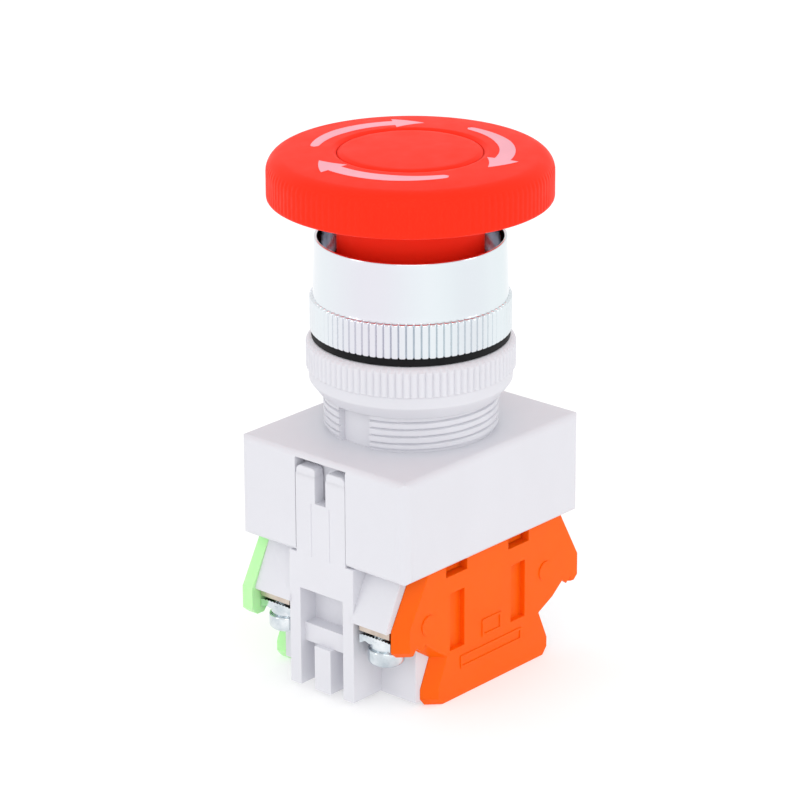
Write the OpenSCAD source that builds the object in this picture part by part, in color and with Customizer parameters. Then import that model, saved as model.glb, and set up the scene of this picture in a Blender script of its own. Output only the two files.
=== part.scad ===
// Push-lock, twist-release emergency stop button for a 25 mm panel hole.
// Origin: centre of the panel hole, on the panel's front face. +Z points to the operator.
// The normally closed contact is on the -Y side and the normally open contact on the +Y side.

/* [Cap] */
// Diameter of the mushroom cap
cap_d = 40; // [37:0.5:42]
// Height of the cap's rim wall, up to the rounded edge
cap_rim_h = 3.9; // [3.8:0.1:4.4]
// Diameter of the round recess in the middle of the cap
recess_d = 20.4; // [20.3:0.1:21.4]
// Diameter of the disc that closes the recess
disc_d = 20.2; // [19:0.1:20.2]
// Outer diameter of the skirt that runs down into the bezel
skirt_d = 20.6; // [20.2:0.1:20.8]
// Wall thickness of the skirt
skirt_wall = 1.4; // [1:0.1:1.4]
// Distance that the cap is pressed
travel = 5; // [4:0.1:5.2]

/* [Bezel and gasket] */
// Outer diameter of the knurled foot
knurl_d = 28.4; // [28:0.1:30]
// Number of knurl teeth
knurl_teeth = 84; // [60:2:100]
// Outer diameter at the top of the bezel
bezel_top_d = 26.96; // [26.9:0.02:27.2]
// Outer diameter just above the knurl
bezel_low_d = 27.46; // [27.3:0.02:27.6]
// Height of the bezel above the gasket
bezel_h = 13.6; // [12:0.1:14]
// Inner diameter of the bezel's mouth
mouth_d = 26; // [24:0.1:26]
// Thickness of the gasket
gasket_h = 1.05; // [0.8:0.05:1.5]
// Outer diameter of the gasket
gasket_d = 28; // [26:0.1:28.4]

/* [Threaded sleeve and nut] */
// Diameter over the thread crests
thread_d = 24.8; // [24.6:0.1:25]
// Depth of the thread
thread_depth = 0.6; // [0.4:0.05:0.7]
// Pitch of the thread
thread_pitch = 1.05; // [1:0.05:1.25]
// Length of the sleeve below the panel's front face
thread_l = 13.3; // [12:0.1:15]
// Width of the keyway down each end of the sleeve
keyway_w = 5.65; // [4:0.05:6]
// Height of the panel nut
nut_h = 7.9; // [6:0.1:8]
// Diameter over the nut's ribs
nut_d = 29.54; // [29.2:0.02:31]
// Number of ribs around the nut
nut_ribs = 88; // [60:2:100]

/* [Housing] */
// Length of the housing
housing_x = 38.4; // [38:0.2:40]
// Width of the housing
housing_y = 31.2; // [30.6:0.2:32]
// Height of the housing
housing_h = 15; // [14.6:0.1:16]
// Radius of the housing's upright corners
housing_corner = 2; // [1.5:0.1:3]
// Radius of the housing's top edge
housing_edge = 1.2; // [0.8:0.1:1.5]
// Radius of the housing's bottom edge
housing_foot = 0.9; // [0.5:0.1:1]
// Width of the notch in each end
notch_w = 9.4; // [9.4:0.1:10.4]

/* [Contact frame] */
// Height of the contact frame below the housing
frame_h = 20.3; // [20:0.1:21]
// Width of each end column
column_w = 12; // [11.8:0.1:12.2]
// Width of each clip arm
arm_w = 9.2; // [8.6:0.1:9.2]
// Thickness of the side covers
cover_t = 1.9; // [1.5:0.1:2.1]

/* [Contacts and terminals] */
// Distance of each contact from the middle plane
contact_y = 9.4; // [9.3:0.05:9.5]
// Distance of each terminal screw from the middle plane
terminal_x = 16.1; // [16:0.05:16.2]
// Thread diameter of the terminal screws
screw_d = 3.5; // [3:0.1:3.5]
// Diameter of the terminal screws' heads
screw_head_d = 5.3; // [5:0.1:5.5]
// Diameter of the contact plungers
plunger_d = 3; // [2.6:0.1:3]

/* [Hidden] */
$fn = 96;

NC = -1;
NO = 1;
LEFT = -1;
RIGHT = 1;
over = 1;            // how far cutting shapes run past a surface
slip = 0.05;         // radial clearance of a running fit

// Heights of the operating head
bezel_top = gasket_h + bezel_h;
cap_bottom = bezel_top + 5.45;
edge_r = 2.5;
edge_z = cap_bottom + cap_rim_h;
dome_slope = 5;
dome_r = 86;
dome_x = cap_d / 2 - edge_r + edge_r * sin(dome_slope) - dome_r * sin(dome_slope);
dome_z = edge_z + edge_r * cos(dome_slope) - dome_r * cos(dome_slope);
cap_top = dome_z + dome_r;
rim_wall = 1.8;
recess_floor = cap_top - 1.8;
web_bottom = recess_floor - 1.5;
skirt_bottom = 3;
cap_screw_ring = 6.6;
groove_w = 0.45;     // bevel on each side of the joint between the cap and its disc

// Stem and twist hub
spigot_r = 3;
flange_r = 8;
flange_z = 12;
flange_t = 2;
stem_r = 4;
bar_top = -20.8;
bar_t = 2;
bar_spigot_r = 2.6;
clip_r = 4;
hub_r = 5;
hub_flange_r = 8.4;
hub_bottom = flange_z + 0.2;
ring_z = 20;
ring_t = 0.6;

// Sleeve and bezel
sleeve_bore_r = 10.7;
sleeve_neck_r = 11.8;
collar_h = 0.9;
sleeve_top = 4.6;
seal_top = 6.2;
lip_top = 7;
lip_r = 10.9;
knurl_top = 6.1;
knurl_depth = 0.35;

// Housing and frame
housing_top = -thread_l;
housing_bottom = housing_top - housing_h;
housing_wall = 1.6;
cavity_x = 31.2;
plate_t = 2;
arm_back = housing_x / 2 - 1.9;
notch_back = arm_back - 0.2;
frame_bottom = housing_bottom - frame_h;
frame_y = 12.4;
wall_in = 10.6;
wall_out = 13.4;
top_plate_t = 1.1;
bottom_plate_t = 1.4;
cover_bottom = frame_bottom - 0.8;
emboss_h = 0.15;
arm_shift = 1.65;     // how far the covers are drawn in at their bevelled end
foot_shift = 0.8;
latch_z = -17.2;
guide_bottom = -19.8;

// Contacts and terminals
plate_top = housing_bottom - 7.8;
contact_t = 1.2;
plate_bottom = plate_top - contact_t;
contact_w = 5.6;
plate_in = 5.2;
plate_out = 18.7;
tip_x = 6.5;
tip_r = 1.2;
tip_h = 0.5;
tip_gap = 0.02;
bridge_t = 0.6;
nc_bridge_top = plate_bottom - 2 * tip_h - tip_gap;
no_bridge_top = plate_top + 2 * tip_h + travel + tip_gap + bridge_t;
plunger_r = plunger_d / 2;
collar_r = 2.6;
washer_top = plate_bottom - 0.4;
washer_t = 1;
washer_bend = 0.3;
lock_r = 2.5;
lock_h = 1.1;
head_top = washer_top - washer_t - lock_h;
screw_head_h = 2.3;
thread_r = screw_d / 2;

// Circular arc from angle a to angle b, as n + 1 points
function arc(x, y, r, a, b, n) =
    [for (i = [0:n]) let (t = a + (b - a) * i / n) [x + r * cos(t), y + r * sin(t)]];

// Rectangle with round corners
module round_rect(x, y, r) {
    square([x - 2 * r, y], center = true);
    square([x, y - 2 * r], center = true);
    for (i = [-1, 1], j = [-1, 1]) translate([i * (x / 2 - r), j * (y / 2 - r)]) circle(r);
}

// Rectangle from y = 0 up, with round upper corners and smaller round lower ones
module arch_rect(w, h, r, foot) {
    translate([-w / 2, foot]) square([w, h - foot - r]);
    translate([-w / 2 + r, h / 2]) square([w - 2 * r, h / 2]);
    translate([-w / 2 + foot, 0]) square([w - 2 * foot, h / 2]);
    for (i = [-1, 1]) translate([i * (w / 2 - r), h - r]) circle(r);
    for (i = [-1, 1]) translate([i * (w / 2 - foot), foot]) circle(foot);
}

// Disc with n pointed teeth between radius r - depth and radius r
module toothed_disc(r, depth, n) {
    polygon([for (i = [0:n - 1], j = [0, 1, 2])
        let (t = (i + j / 3) * 360 / n, q = j == 0 ? r - depth : r) [q * cos(t), q * sin(t)]]);
}

module box(x0, x1, y0, y1, z0, z1) {
    translate([x0, y0, z0]) cube([x1 - x0, y1 - y0, z1 - z0]);
}

module tube(r_out, r_in, z0, z1) {
    difference() {
        translate([0, 0, z0]) cylinder(h = z1 - z0, r = r_out);
        translate([0, 0, z0 - over]) cylinder(h = z1 - z0 + 2 * over, r = r_in);
    }
}

module rod(r, z0, z1) {
    translate([0, 0, z0]) cylinder(h = z1 - z0, r = r);
}

// Coil of round wire between heights z0 and z1
module coil(r, wire_r, z0, z1, turns, steps = 14, sides = 6) {
    n = turns * steps;
    rise = z1 - z0 - 2 * wire_r;
    points = [for (i = [0:n], j = [0:sides - 1])
        let (a = 360 * i / steps, b = 360 * j / sides, q = r + wire_r * cos(b))
        [q * cos(a), q * sin(a), z0 + wire_r + rise * i / n + wire_r * sin(b)]];
    walls = [for (i = [0:n - 1], j = [0:sides - 1])
        let (k = (j + 1) % sides, p = i * sides, q = p + sides) [p + j, q + j, q + k, p + k]];
    start = [for (j = [0:sides - 1]) j];
    end = [for (j = [sides - 1:-1:0]) n * sides + j];
    polyhedron(points, concat(walls, [start, end]));
}

// Operating head

module mushroom_cap() {
    inner_r = cap_d / 2 - rim_wall;
    dome_end = asin((cap_d / 2 - edge_r - dome_x + edge_r * sin(dome_slope)) / dome_r);
    dome_in = asin((recess_d / 2 + groove_w - dome_x) / dome_r);
    color("red") difference() {
        union() {
            rotate_extrude() polygon(concat(
                [[0, web_bottom], [skirt_d / 2 - skirt_wall, web_bottom],
                 [skirt_d / 2 - skirt_wall, skirt_bottom], [skirt_d / 2 - 0.4, skirt_bottom],
                 [skirt_d / 2, skirt_bottom + 0.4], [skirt_d / 2, web_bottom],
                 [inner_r - 1.2, web_bottom], [inner_r, web_bottom - 1.2],
                 [inner_r, cap_bottom], [cap_d / 2 - 0.4, cap_bottom], [cap_d / 2, cap_bottom + 0.4]],
                arc(cap_d / 2 - edge_r, edge_z, edge_r, 0, 90 - dome_slope, 8),
                arc(dome_x, dome_z, dome_r, 90 - dome_end, 90 - dome_in, 8),
                [[recess_d / 2, cap_top - groove_w], [recess_d / 2, recess_floor], [0, recess_floor]]));
            // stiffening ribs under the roof
            for (i = [0:7]) rotate(i * 45 + 22.5)
                box(skirt_d / 2 - 0.3, inner_r + 0.3, -0.5, 0.5, web_bottom - 2.6, web_bottom + 0.4);
        }
        for (i = [0:2]) rotate(i * 120) translate([cap_screw_ring, 0, 0])
            rod(1.25, web_bottom - over, recess_floor + over);
    }
}

module cap_disc() {
    color("red") rotate_extrude() polygon([[0, recess_floor + 1.1], [2.2, recess_floor + 1.1],
        [2.2, recess_floor], [4.6, recess_floor], [4.6, recess_floor + 1.0],
        [disc_d / 2 - 0.8, recess_floor + 1.0],
        [disc_d / 2 - 0.8, recess_floor], [disc_d / 2, recess_floor],
        [disc_d / 2, cap_top - groove_w], [disc_d / 2 - groove_w, cap_top], [0, cap_top + 0.15]]);
}

module cap_screws() {
    color("silver") for (i = [0:2]) rotate(i * 120) translate([cap_screw_ring, 0, 0]) difference() {
        union() {
            rod(1.9, recess_floor, recess_floor + 0.9);
            rod(1, web_bottom - 2, recess_floor + 0.3);
        }
        box(-0.25, 0.25, -2, 2, recess_floor + 0.45, recess_floor + 2);
    }
}

module twist_hub() {
    color("ivory") difference() {
        union() {
            rod(hub_r, hub_bottom, web_bottom);
            rod(hub_flange_r, web_bottom - 1.8, web_bottom);
        }
        rod(spigot_r + slip, hub_bottom - over, web_bottom + over);
        rod(4.4, ring_z - 0.2, web_bottom + over);
        for (i = [0:2]) rotate(i * 120) translate([cap_screw_ring, 0, 0])
            rod(1, web_bottom - 1.8 - over, web_bottom + over);
    }
}

module hub_ring() {
    color("dimgray") difference() {
        tube(4.1, spigot_r - 0.5, ring_z, ring_z + ring_t);
        box(0, 5, -1.4, 1.4, ring_z - over, ring_z + 2);
    }
}

module twist_spring() {
    color("silver") coil(6.4, 0.4, flange_z, web_bottom - 2.2, 7, sides = 5);
}

module stem() {
    groove_z = latch_z + travel;
    color("ivory") {
        rotate_extrude() polygon([[0, bar_top - bar_t - 1.1], [bar_spigot_r - 0.3, bar_top - bar_t - 1.1],
            [bar_spigot_r, bar_top - bar_t - 0.8], [bar_spigot_r, bar_top], [stem_r, bar_top],
            [stem_r, groove_z - 1.4], [stem_r - 1.2, groove_z - 1], [stem_r - 1.2, groove_z + 0.8],
            [stem_r, groove_z + 2], [stem_r, flange_z - flange_t], [flange_r, flange_z - flange_t],
            [flange_r, flange_z], [spigot_r, flange_z], [spigot_r, ring_z], [spigot_r - 0.5, ring_z],
            [spigot_r - 0.5, ring_z + ring_t], [spigot_r, ring_z + ring_t], [spigot_r, ring_z + 1.4],
            [spigot_r - 0.4, ring_z + 1.8], [0, ring_z + 1.8]]);
        // guide keys
        for (s = [-1, 1]) box(min(s * (stem_r - 0.4), s * 5.2), max(s * (stem_r - 0.4), s * 5.2),
            -0.8, 0.8, bar_top, groove_z - 1.6);
    }
}

module return_spring() {
    color("silver") coil(6.1, 0.55, housing_top, flange_z - flange_t, 8);
}

module pusher_bar() {
    color("ivory") difference() {
        translate([0, 0, bar_top - bar_t]) linear_extrude(bar_t) union() {
            square([6, 2 * contact_y], center = true);
            for (s = [-1, 1]) translate([0, s * contact_y]) circle(3);
            circle(5.2);
        }
        rod(bar_spigot_r, bar_top - bar_t - over, bar_top + over);
    }
}

module bar_clip() {
    z = bar_top - bar_t - 0.6;
    color("dimgray") difference() {
        tube(clip_r, bar_spigot_r, z, z + 0.6);
        box(0, 5, -1.2, 1.2, z - over, z + over);
    }
}

// Panel mounting

module bezel_ring() {
    top_r = bezel_top_d / 2;
    lip = 0.24;
    mouth_r = mouth_d / 2;
    color("gainsboro") {
        rotate_extrude() polygon(concat(
            [[sleeve_neck_r + 0.02, gasket_h], [knurl_d / 2 - knurl_depth - 0.1, gasket_h],
             [knurl_d / 2 - knurl_depth - 0.1, knurl_top], [bezel_low_d / 2, knurl_top + 0.5]],
            arc(top_r - lip, bezel_top - lip, lip, 0, 90, 4),
            arc(mouth_r + lip, bezel_top - lip, lip, 90, 180, 4),
            [[mouth_r, lip_top], [lip_r, lip_top], [lip_r, seal_top], [sleeve_neck_r + 0.02, seal_top]]));
        translate([0, 0, gasket_h]) linear_extrude(knurl_top - gasket_h) difference() {
            toothed_disc(knurl_d / 2, knurl_depth, knurl_teeth);
            circle(knurl_d / 2 - knurl_depth - 0.6);
        }
    }
}

module skirt_seal() {
    color("black") rotate_extrude() polygon([[sleeve_neck_r, sleeve_top], [sleeve_neck_r, seal_top],
        [lip_r - 0.2, seal_top], [skirt_d / 2 + 0.1, seal_top - 0.5], [skirt_d / 2 + 0.1, seal_top - 0.9],
        [lip_r - 0.2, sleeve_top]]);
}

module gasket() {
    color("black") tube(gasket_d / 2, thread_d / 2, 0, gasket_h);
}

module panel_nut() {
    top = -0.05;
    rib_low = -4.5;
    body_r = nut_d / 2 - 0.4;
    bore_r = thread_d / 2 + slip;
    color("white") {
        rotate_extrude() polygon([[bore_r, -nut_h], [13, -nut_h], [body_r, -nut_h + 1.8],
            [body_r, top - 0.5], [body_r - 0.5, top], [bore_r, top]]);
        translate([0, 0, rib_low]) linear_extrude(top - 0.6 - rib_low) difference() {
            toothed_disc(nut_d / 2, 0.3, nut_ribs);
            circle(body_r - 0.5);
        }
    }
}

// Housing with its threaded sleeve

// Sleeve wall: thread ridges, the plain collar that locates in the panel hole, and the neck above it
module thread_profile() {
    crest = thread_d / 2;
    root = crest - thread_depth;
    turns = floor((thread_l - collar_h - 0.2) / thread_pitch);
    polygon(concat([[sleeve_bore_r, housing_top - 0.5], [root, housing_top - 0.5]],
        [for (i = [0:turns - 1], p = [[root, 0.06], [crest, 0.2], [crest, 0.8], [root, 0.94]])
            [p[0], housing_top + (i + p[1]) * thread_pitch]],
        [[root, -collar_h], [crest, -collar_h], [crest, 0], [sleeve_neck_r, 0], [sleeve_neck_r, sleeve_top],
         [sleeve_bore_r, sleeve_top]]));
}

module housing_shell() {
    h = housing_h;
    translate([0, 0, housing_bottom]) intersection() {
        linear_extrude(h) round_rect(housing_x, housing_y, housing_corner);
        rotate([90, 0, 0]) linear_extrude(housing_y + 2, center = true)
            arch_rect(housing_x, h, housing_edge, housing_foot);
        rotate([90, 0, 90]) linear_extrude(housing_x + 2, center = true)
            arch_rect(housing_y, h, housing_edge, housing_foot);
    }
}

module upper_housing() {
    wall_y = housing_y / 2 - housing_wall;
    color("whitesmoke") difference() {
        union() {
            difference() {
                housing_shell();
                box(-cavity_x / 2, cavity_x / 2, -wall_y, wall_y,
                    housing_bottom - over, housing_top - plate_t);
            }
            box(-7, 7, -wall_y - 0.2, wall_y + 0.2, guide_bottom, housing_top - 0.5);
            rotate_extrude() thread_profile();
        }
        // stem bore and its key slots
        rod(stem_r + slip, guide_bottom - over, housing_top + over);
        box(-5.3, 5.3, -0.85, 0.85, guide_bottom - over, housing_top + over);
        // latch pockets
        for (s = [-1, 1]) translate([0, 0, latch_z]) rotate([-90 * s, 0, 0]) rod(1.3, 0, 12.6);
        // end notches for the clip arms
        for (s = [0, 1]) rotate(s * 180) {
            box(notch_back, housing_x, -notch_w / 2, notch_w / 2, housing_bottom - over, housing_top - 0.75);
            box(thread_d / 2 - 1, housing_x, -keyway_w / 2, keyway_w / 2, housing_top, over / 2);
        }
    }
}

module latch_pins() {
    color("silver") for (s = [-1, 1]) translate([0, 0, latch_z]) rotate([-90 * s, 0, 0]) {
        rod(1.25, 4.9, 8.6);
        translate([0, 0, 4.15]) cylinder(h = 0.75, r1 = 0.5, r2 = 1.25);
    }
}

module latch_springs() {
    color("silver") for (s = [-1, 1]) translate([0, 0, latch_z]) rotate([-90 * s, 0, 0])
        coil(0.95, 0.2, 8.6, 12.6, 6, 12, 5);
}

// Contact frame and its covers

// Roof over one terminal, bent over the screw
module shroud(s, t) {
    low = plate_top;
    y0 = t > 0 ? column_w / 2 - 0.2 : -frame_y;
    translate([0, y0 + frame_y - column_w / 2 + 0.2, 0]) rotate([90, 0, 0])
        linear_extrude(frame_y - column_w / 2 + 0.2) mirror([s < 0 ? 1 : 0, 0])
        polygon([[wall_out - 0.2, housing_bottom], [16.2, housing_bottom], [16.5, housing_bottom - 1],
            [19.5, low + 0.5], [19.5, low], [18.3, low], [18.3, low + 0.7], [15.5, housing_bottom - 1.5],
            [wall_out - 0.2, housing_bottom - 1.5]]);
}

// Column, clip arm and prong at one end
module column() {
    front = housing_x / 2;
    half = column_w / 2;
    rail = 2;
    difference() {
        union() {
            box(wall_in, front, -half, half, frame_bottom + 0.1, housing_bottom);
            box(arm_back, front, -arm_w / 2, arm_w / 2, housing_bottom - over, -15.6);
            for (s = [-1, 1]) translate([arm_back, s * (arm_w / 4 + 0.2), -15.6]) rotate([0, 90, 0])
                cylinder(h = front - arm_back, r = 0.5);
            for (s = [-1, 1]) box(arm_back, front, min(s, s * 4), max(s, s * 4), -15.7, -15.25);
        }
        // slot between the lobes
        box(arm_back - over, front + over, -1, 1, -20.2, -14);
        // raised tab's two side grooves
        for (s = [-1, 1]) translate([0, s * 1.7, 0])
            box(front - 0.1, front + over, -0.1, 0.1, housing_bottom, -20.4);
        // window
        box(16, front + over, -half + rail, half - rail, -39.2, -33.6);
        // opening each side of the prong
        box(18.2, front + over, -half + rail, half - rail, -42, -39.1);
        box(16.4, front + over, -half + rail, half - rail, frame_bottom - over, -42);
        // chamber behind, open below
        box(wall_out, 15.2, -half + 1.2, half - 1.2, frame_bottom - over, -31);
    }
    box(16.3, front - 0.1, -1.5, 1.5, frame_bottom, -41.9);
}

module contact_frame() {
    plunger_hole = plunger_r + slip;
    color("whitesmoke") difference() {
        union() {
            box(-16.2, 16.2, -frame_y, frame_y, housing_bottom - top_plate_t, housing_bottom);
            box(-wall_out, wall_out, -frame_y, frame_y, frame_bottom, frame_bottom + bottom_plate_t);
            box(-wall_in - 0.2, wall_in + 0.2, -0.8, 0.8, frame_bottom + 1, housing_bottom - 1);
            for (s = [0, 1]) rotate(s * 180) {
                box(wall_in, wall_out, -frame_y, frame_y, frame_bottom, housing_bottom);
                column();
            }
            for (s = [LEFT, RIGHT], t = [NC, NO]) shroud(s, t);
        }
        rod(clip_r + 0.3, housing_bottom - top_plate_t, housing_bottom + over);
        for (t = [NC, NO]) {
            translate([0, t * contact_y, 0]) rod(plunger_hole, housing_bottom - 2, housing_bottom + over);
            translate([0, t * contact_y, 0])
                box(-plate_out, plate_out, -contact_w / 2, contact_w / 2, plate_bottom, plate_top);
        }
    }
}

// One half of a side cover's outline, with its arm and its foot drawn in by the given amounts
function cover_half(arm, foot) =
    [[0, cover_bottom], [12.4 - foot, cover_bottom], [13.3 - foot, cover_bottom + 1.1],
     [13.3 - foot, cover_bottom + 2.6], [11.4 - foot, -42.4], [14.5 - arm, -40.9], [16.9 - arm, -39],
     [17.8 - arm, -40.1], [19.2 - arm, -40.1], [20.2 - arm, -39.2], [20.2 - arm, -35.9],
     [16 - arm, housing_bottom], [0, housing_bottom]];

module cover_shape() {
    polygon(cover_half(0, 0));
    mirror([1, 0]) polygon(cover_half(arm_shift, foot_shift));
}

// Raised outline of a rectangle
module outline(x0, x1, y0, y1) {
    line = 0.35;
    difference() {
        translate([x0, y0]) square([x1 - x0, y1 - y0]);
        translate([x0 + line, y0 + line]) square([x1 - x0 - 2 * line, y1 - y0 - 2 * line]);
    }
}

// Plate with a bevel on every edge that faces the shifted end
module cover_plate() {
    edge_t = 0.1;
    linear_extrude(edge_t) cover_shape();
    intersection() {
        linear_extrude(cover_t) cover_shape();
        multmatrix([[1, 0, 1, -edge_t], [0, 1, 0, 0], [0, 0, 1, 0], [0, 0, 0, 1]])
            linear_extrude(cover_t) cover_shape();
    }
}

module side_cover() {
    rotate([90, 0, 0]) difference() {
        union() {
            cover_plate();
            for (s = [-1, 1]) translate([s * 12.8, -36.3, 0]) cylinder(h = cover_t + emboss_h, r = 1.45);
            linear_extrude(cover_t + emboss_h) {
                outline(-1.3, 2.9, -41.9, -39.3);
                outline(-6, 7.4, -45.2, -43.3);
            }
        }
        for (s = [-1, 1]) {
            translate([s * 6.65, -37.45, cover_t - 0.9])
                linear_extrude(over) square([3.1, 8.7], center = true);
            translate([s * 6.75, housing_bottom, -over])
                linear_extrude(cover_t + 2 * over) square([4.5, 4.2], center = true);
        }
    }
}

module nc_cover() {
    color("orangered") translate([0, -frame_y, 0]) side_cover();
}

module no_cover() {
    color("lightgreen") rotate(180) translate([0, -frame_y, 0]) side_cover();
}

// Contacts; t is the side, NC or NO

module plunger(t, collar_z0, collar_z1) {
    color("ivory") translate([0, t * contact_y, 0]) {
        rod(plunger_r, -42, bar_top - bar_t - slip);
        rod(collar_r, collar_z0, collar_z1);
    }
}

module bridge(t, top) {
    color("peru") translate([0, t * contact_y, 0]) difference() {
        box(-8, 8, -2, 2, top - bridge_t, top);
        rod(plunger_r, top - 2, top + over);
    }
}

module tips(t, z0) {
    color("silver") for (s = [-1, 1]) translate([s * tip_x, t * contact_y, 0]) rod(tip_r, z0, z0 + tip_h);
}

module nc_plunger() { plunger(NC, nc_bridge_top, nc_bridge_top + 1.2); }
module nc_bridge() { bridge(NC, nc_bridge_top); }
module nc_moving_tips() { tips(NC, nc_bridge_top); }
module nc_fixed_tips() { tips(NC, plate_bottom - tip_h); }
module nc_spring() {
    color("silver") translate([0, NC * contact_y, 0])
        coil(2.3, 0.25, frame_bottom + bottom_plate_t, nc_bridge_top - bridge_t, 6, 12, 5);
}

module no_plunger() { plunger(NO, no_bridge_top - bridge_t - 1, no_bridge_top - bridge_t); }
module no_bridge() { bridge(NO, no_bridge_top); }
module no_moving_tips() { tips(NO, no_bridge_top - bridge_t - tip_h); }
module no_fixed_tips() { tips(NO, plate_top); }
module no_spring() {
    color("silver") translate([0, NO * contact_y, 0])
        coil(2.2, 0.25, frame_bottom + bottom_plate_t, no_bridge_top - bridge_t - 1, 9, 12, 5);
}

// Terminals; s is the end, LEFT or RIGHT

module terminal_plate(s, t) {
    color("tan") translate([0, t * contact_y, 0]) difference() {
        box(min(s * plate_in, s * plate_out), max(s * plate_in, s * plate_out),
            -contact_w / 2, contact_w / 2, plate_bottom, plate_top);
        translate([s * terminal_x, 0, 0]) rod(thread_r, plate_bottom - over, plate_top + over);
    }
}

// Wire clamp with bent edges and the lock washer under it, held captive on the screw
module clamp_washer(s, t) {
    half = contact_w / 2;
    flat = half - 0.9;
    color("silver") translate([s * terminal_x, t * contact_y, washer_top]) difference() {
        union() {
            rotate([90, 0, 90]) linear_extrude(4.9, center = true) polygon([
                [-flat, 0], [-half, -0.1], [-half, -washer_t - washer_bend],
                [-flat - 0.4, -washer_t - washer_bend], [-flat, -washer_t],
                [flat, -washer_t], [flat + 0.4, -washer_t - washer_bend],
                [half, -washer_t - washer_bend], [half, -0.1], [flat, 0]]);
            rod(lock_r, -washer_t - lock_h, -washer_t / 2);
        }
        rod(thread_r + slip, -5, over);
    }
}

module terminal_screw(s, t) {
    color("silver") translate([s * terminal_x, t * contact_y, 0]) difference() {
        union() {
            rod(thread_r - slip, head_top - over, plate_top + 0.3);
            rod(screw_head_d / 2, head_top - screw_head_h + 0.3, head_top);
            translate([0, 0, head_top - screw_head_h])
                cylinder(h = 0.3, r1 = screw_head_d / 2 - 0.3, r2 = screw_head_d / 2);
        }
        for (a = [0, 90]) rotate(a)
            box(-1.7, 1.7, -0.4, 0.4, head_top - screw_head_h - over, head_top - screw_head_h + 1.3);
    }
}

module nc_plate_left() { terminal_plate(LEFT, NC); }
module nc_plate_right() { terminal_plate(RIGHT, NC); }
module no_plate_left() { terminal_plate(LEFT, NO); }
module no_plate_right() { terminal_plate(RIGHT, NO); }
module nc_washer_left() { clamp_washer(LEFT, NC); }
module nc_washer_right() { clamp_washer(RIGHT, NC); }
module no_washer_left() { clamp_washer(LEFT, NO); }
module no_washer_right() { clamp_washer(RIGHT, NO); }
module nc_screw_left() { terminal_screw(LEFT, NC); }
module nc_screw_right() { terminal_screw(RIGHT, NC); }
module no_screw_left() { terminal_screw(LEFT, NO); }
module no_screw_right() { terminal_screw(RIGHT, NO); }

mushroom_cap();
cap_disc();
cap_screws();
twist_hub();
hub_ring();
twist_spring();
stem();
return_spring();
pusher_bar();
bar_clip();
bezel_ring();
skirt_seal();
gasket();
panel_nut();
upper_housing();
latch_pins();
latch_springs();
contact_frame();
nc_cover();
no_cover();
nc_plunger();
nc_bridge();
nc_moving_tips();
nc_fixed_tips();
nc_spring();
no_plunger();
no_bridge();
no_moving_tips();
no_fixed_tips();
no_spring();
nc_plate_left();
nc_plate_right();
no_plate_left();
no_plate_right();
nc_washer_left();
nc_washer_right();
no_washer_left();
no_washer_right();
nc_screw_left();
nc_screw_right();
no_screw_left();
no_screw_right();
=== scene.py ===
"""Looks of the emergency stop button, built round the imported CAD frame. Metres, +Z towards the operator."""

import math
from math import cos, pi, radians, sin, tau

import bmesh
import bpy
from mathutils import Matrix, Vector


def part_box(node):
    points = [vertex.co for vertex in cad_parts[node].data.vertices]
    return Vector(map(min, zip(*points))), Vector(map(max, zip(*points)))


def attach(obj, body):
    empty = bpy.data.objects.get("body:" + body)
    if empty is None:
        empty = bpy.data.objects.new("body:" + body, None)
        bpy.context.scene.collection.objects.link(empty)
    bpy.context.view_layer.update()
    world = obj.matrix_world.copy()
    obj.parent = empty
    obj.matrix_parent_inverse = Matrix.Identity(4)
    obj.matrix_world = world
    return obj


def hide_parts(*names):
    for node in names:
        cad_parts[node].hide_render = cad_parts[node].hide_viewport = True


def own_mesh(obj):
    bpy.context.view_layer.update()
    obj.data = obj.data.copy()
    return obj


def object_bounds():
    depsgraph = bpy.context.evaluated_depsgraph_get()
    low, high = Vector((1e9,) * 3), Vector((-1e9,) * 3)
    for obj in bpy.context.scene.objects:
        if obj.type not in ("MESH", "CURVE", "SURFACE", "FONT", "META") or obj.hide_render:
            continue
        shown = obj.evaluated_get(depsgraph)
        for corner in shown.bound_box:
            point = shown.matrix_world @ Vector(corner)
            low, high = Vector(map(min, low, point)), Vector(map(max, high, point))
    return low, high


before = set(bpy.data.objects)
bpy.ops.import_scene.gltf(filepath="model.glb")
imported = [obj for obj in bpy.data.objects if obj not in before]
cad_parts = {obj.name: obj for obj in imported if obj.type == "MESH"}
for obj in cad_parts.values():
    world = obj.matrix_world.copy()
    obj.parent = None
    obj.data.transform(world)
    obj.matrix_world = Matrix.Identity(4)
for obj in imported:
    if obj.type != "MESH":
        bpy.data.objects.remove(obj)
CAD_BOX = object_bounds()
MM = 0.001
SHARP = radians(34)
SLEEVE_BOTTOM = -13.3 * MM

# ---------------------------------------------------------------- outlines


def arc(x, y, r, start, end, steps=6):
    """Points along an arc, angles in degrees."""
    points = []
    for i in range(steps + 1):
        angle = radians(start + (end - start) * i / steps)
        points.append((x + r * cos(angle), y + r * sin(angle)))
    return points


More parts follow.
